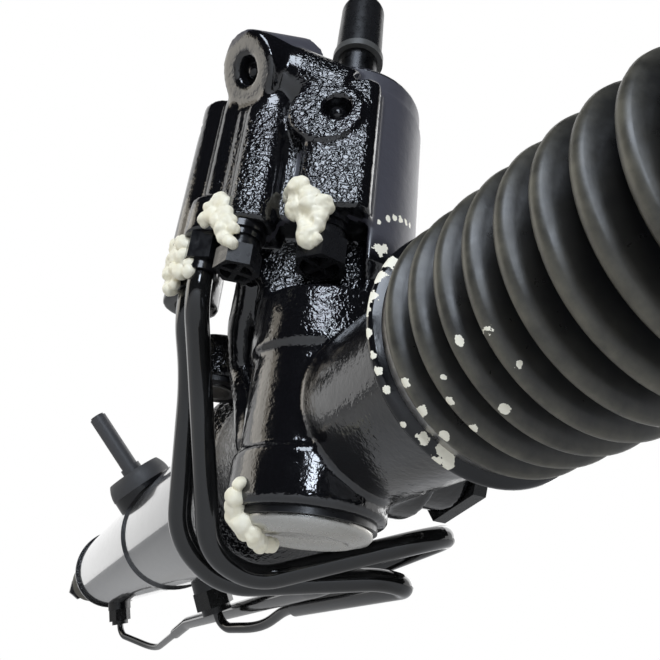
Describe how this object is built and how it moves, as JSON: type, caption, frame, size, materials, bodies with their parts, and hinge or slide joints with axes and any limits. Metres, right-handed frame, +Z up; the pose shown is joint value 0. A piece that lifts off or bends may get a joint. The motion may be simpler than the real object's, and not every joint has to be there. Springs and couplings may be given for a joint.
{
  "type": "power steering rack",
  "caption": "Hydraulic rack-and-pinion steering gear with valve tower, cylinder, feed pipes, bellows and threaded tie rods.",
  "frame": {"origin": "centre of the near mounting bore", "axes": "+X along the rack from the cylinder to the pinion side's tie rod, +Z up the pinion and input shaft, +Y from the pinion to the yoke"},
  "size_m": [1.108, 0.109, 0.222],
  "materials": {
    "cast": "gloss",
    "tower": "satin",
    "tube": "gloss",
    "steel": "machined",
    "hard_chrome": "polished",
    "rubber": "matte",
    "plastic": "satin",
    "pale_plastic": "satin",
    "black_zinc": "satin"
  },
  "bodies": {
    "housing": {"rack_housing": "cast", "valve_housing": "tower", "ball_plugs": "steel", "port_adapters": "steel", "return_port_plug": "plastic", "pressure_port_plug": "plastic", "bottom_cap": "black_zinc", "bottom_cap_seal": "rubber", "lower_bearing": "steel", "upper_bearing": "steel", "pinion_seal": "rubber", "shaft_bearing": "steel", "shaft_seal": "rubber", "top_circlip": "steel", "rack_bush": "plastic", "yoke": "steel", "yoke_spring": "steel", "yoke_plug": "steel", "yoke_lock_nut": "black_zinc", "cylinder_tube": "tube", "port_bosses": "steel", "far_housing": "cast", "seal_carrier": "steel", "rack_seals": "rubber", "near_mount_bush": "rubber", "near_mount_sleeve": "steel", "far_mount_saddle": "cast", "far_mount_bush": "rubber", "far_mount_stud": "black_zinc", "valve_pipe_nuts": "steel", "near_port_nut": "black_zinc", "far_port_nut": "black_zinc", "long_pipe": "tube", "short_pipe": "tube", "long_pipe_sleeve": "tube", "short_pipe_sleeve": "tube", "near_bellows": "rubber", "far_bellows": "rubber", "near_large_clamp": "steel", "far_large_clamp": "steel"},
    "rack": {"rack_bar": "hard_chrome", "piston": "steel", "piston_ring": "plastic", "near_ball_socket": "steel", "near_ball_seat": "pale_plastic", "far_ball_socket": "steel", "far_ball_seat": "pale_plastic"},
    "pinion": {"pinion": "steel", "valve_sleeve": "steel", "torsion_bar": "steel"},
    "input_shaft": {"input_shaft": "steel", "shaft_cap": "plastic", "shaft_collar": "pale_plastic"},
    "near_tie_rod": {"near_tie_rod": "steel", "near_lock_nut": "black_zinc", "near_small_clamp": "steel"},
    "far_tie_rod": {"far_tie_rod": "steel", "far_lock_nut": "black_zinc", "far_small_clamp": "steel"}
  },
  "joints": [
    {"name": "rack_slide", "type": "slide", "parent": "housing", "child": "rack", "axis": [1, 0, 0], "range_m": [-0.07, 0.07], "deforming": ["near_bellows", "far_bellows"]},
    {"name": "pinion_turn", "type": "hinge", "parent": "housing", "child": "pinion", "pos_m": [0.044, 0.0196, -0.026], "axis": [0, 0, 1], "range_deg": [-575, 575]},
    {"name": "input_twist", "type": "hinge", "parent": "pinion", "child": "input_shaft", "pos_m": [0.044, 0.0196, 0.024], "axis": [0, 0, 1], "range_deg": [-4, 4], "stiffness_Nm_per_rad": 60},
    {"name": "near_tie_rod_swing", "type": "hinge", "parent": "rack", "child": "near_tie_rod", "pos_m": [0.198, 0.031, -0.026], "axis": [0, 1, 0], "range_deg": [-12, 12]},
    {"name": "far_tie_rod_swing", "type": "hinge", "parent": "rack", "child": "far_tie_rod", "pos_m": [-0.53, 0.031, -0.026], "axis": [0, 1, 0], "range_deg": [-12, 12]}
  ],
  "couplings": [
    {"joint": "pinion_turn", "follows": "rack_slide", "rad_per_m": -142.86}
  ]
}
